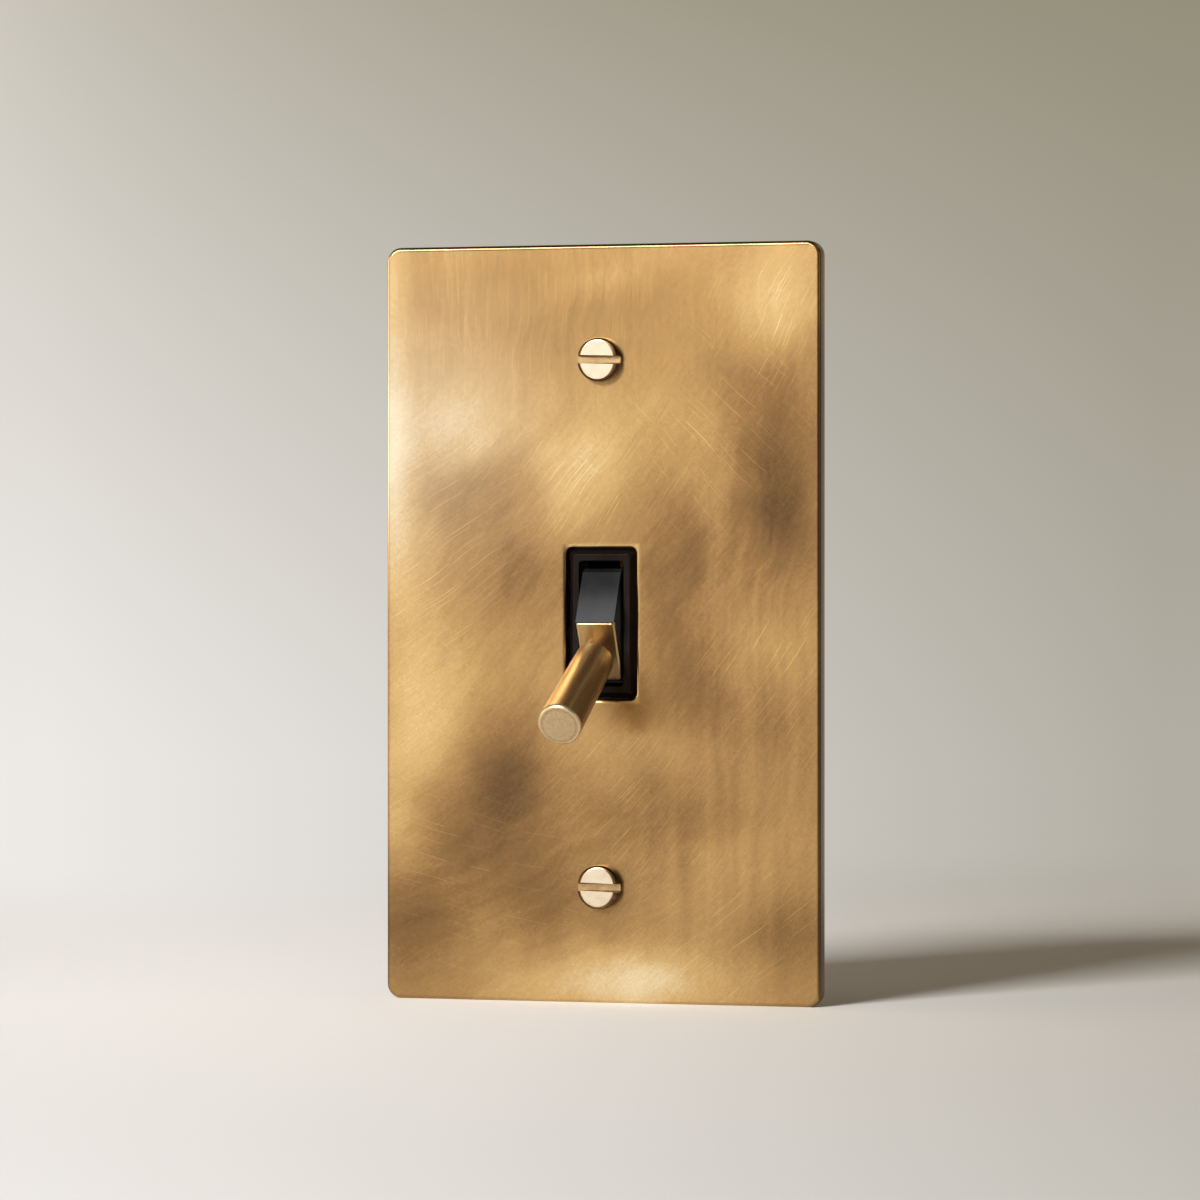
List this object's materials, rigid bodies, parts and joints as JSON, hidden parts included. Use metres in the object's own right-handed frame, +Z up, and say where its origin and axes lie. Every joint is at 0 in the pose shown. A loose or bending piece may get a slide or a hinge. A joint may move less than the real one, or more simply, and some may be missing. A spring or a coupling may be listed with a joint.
{
  "type": "dolly light switch",
  "caption": "Upright brass plate with slotted screws and a black collar, from which a turned brass dolly lever tips up and down to work a two-way contact behind the plate.",
  "frame": {"origin": "centre of the plate's back face, in the plane of the wall, midway between the two box screws", "axes": "+X to the right seen from the front, +Y into the wall along the box screws, +Z up"},
  "size_m": [0.0716, 0.052, 0.12],
  "materials": {
    "aged_brass": "aged satin brass with brushed lines, scratches and brown patina",
    "screw_brass": "bright satin brass",
    "cap_brass": "satin brass",
    "lever_brass": "turned satin brass",
    "terminal_brass": "plain rolled brass",
    "terminal_screw_brass": "plain turned brass",
    "blade_copper": "rolled copper",
    "contact_silver": "dull silver",
    "zinc_steel": "zinc-plated pressed steel",
    "rivet_steel": "plated steel",
    "pin_steel": "ground steel",
    "spring_steel": "drawn spring wire",
    "green_screw": "green dyed plating",
    "red_fibre": "pressed fibre",
    "black_moulding": "satin black thermoset moulding",
    "rocker_moulding": "matt black thermoset moulding",
    "housing_moulding": "matt black thermoset moulding"
  },
  "bodies": {
    "switch_body": {"face_plate": "aged_brass", "plate_screws": "screw_brass", "captive_washers": "red_fibre", "mounting_strap": "zinc_steel", "strap_rivets": "rivet_steel", "earth_screw": "green_screw", "front_cover": "black_moulding", "rear_housing": "housing_moulding", "common_terminal": "terminal_brass", "upper_terminal": "terminal_brass", "lower_terminal": "terminal_brass", "fixed_contacts": "contact_silver", "terminal_clamps": "terminal_brass", "terminal_screws": "terminal_screw_brass"},
    "dolly": {"rocker": "rocker_moulding", "dolly_cap": "cap_brass", "dolly_lever": "lever_brass", "lever_insert": "terminal_brass", "pivot_pin": "pin_steel", "toggle_spring": "spring_steel"},
    "contact_rocker": {"contact_blade": "blade_copper", "moving_contacts": "contact_silver"}
  },
  "joints": [
    {"name": "dolly_pivot", "type": "hinge", "parent": "switch_body", "child": "dolly", "pos_m": [0, 0.0048, 0], "axis": [-1, 0, 0], "range_deg": [0, 54], "deforming": ["toggle_spring"]},
    {"name": "contact_rock", "type": "hinge", "parent": "switch_body", "child": "contact_rocker", "pos_m": [0, 0.0179, 0], "axis": [-1, 0, 0], "range_deg": [0, 10]}
  ],
  "couplings": [
    {"joint": "contact_rock", "follows": "dolly_pivot", "ratio": 0.18518}
  ]
}
